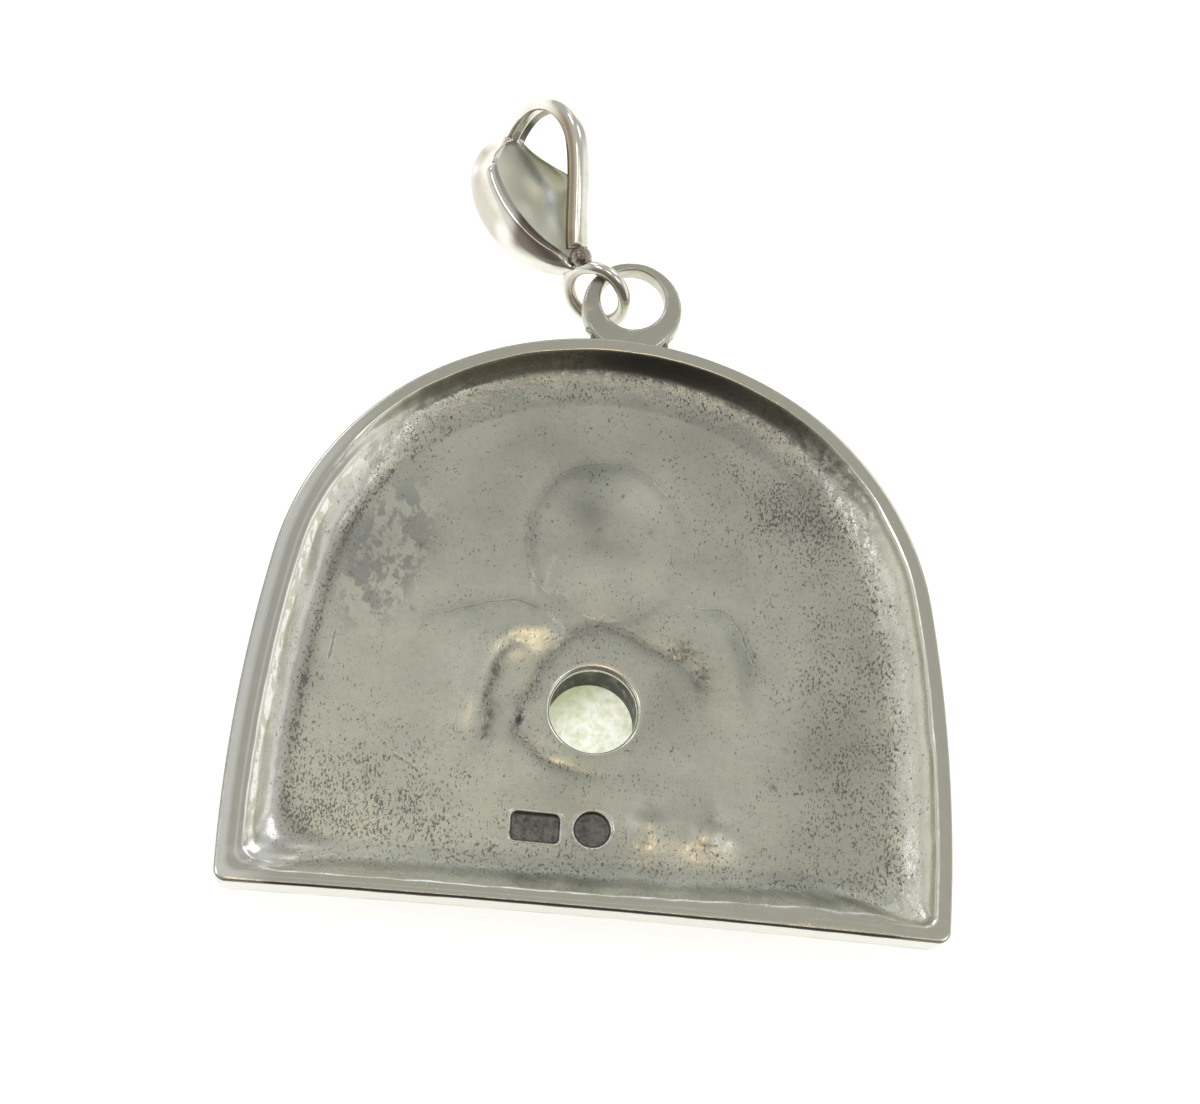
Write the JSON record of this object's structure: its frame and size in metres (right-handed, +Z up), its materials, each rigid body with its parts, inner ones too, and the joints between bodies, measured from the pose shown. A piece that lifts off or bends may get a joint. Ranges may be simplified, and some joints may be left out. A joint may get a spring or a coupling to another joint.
{
  "type": "knight pendant",
  "caption": "Arched hollow-back silver pendant with a raised knight, a round cabochon, a flat soldered loop and a leaf bail, lying face down.",
  "frame": {"origin": "on the surface that the pendant lies on, under the middle of its whole length and width", "axes": "+Z up out of the hollow back, +Y from the straight foot to the bail, +X to the right seen from the back"},
  "size_m": [0.03, 0.0374, 0.006],
  "materials": {
    "cast_silver": "satin",
    "pale_green_stone": "polished",
    "polished_silver": "polished"
  },
  "bodies": {
    "root": {"plaque": "cast_silver", "stone": "pale_green_stone", "bail": "polished_silver"}
  },
  "joints": []
}
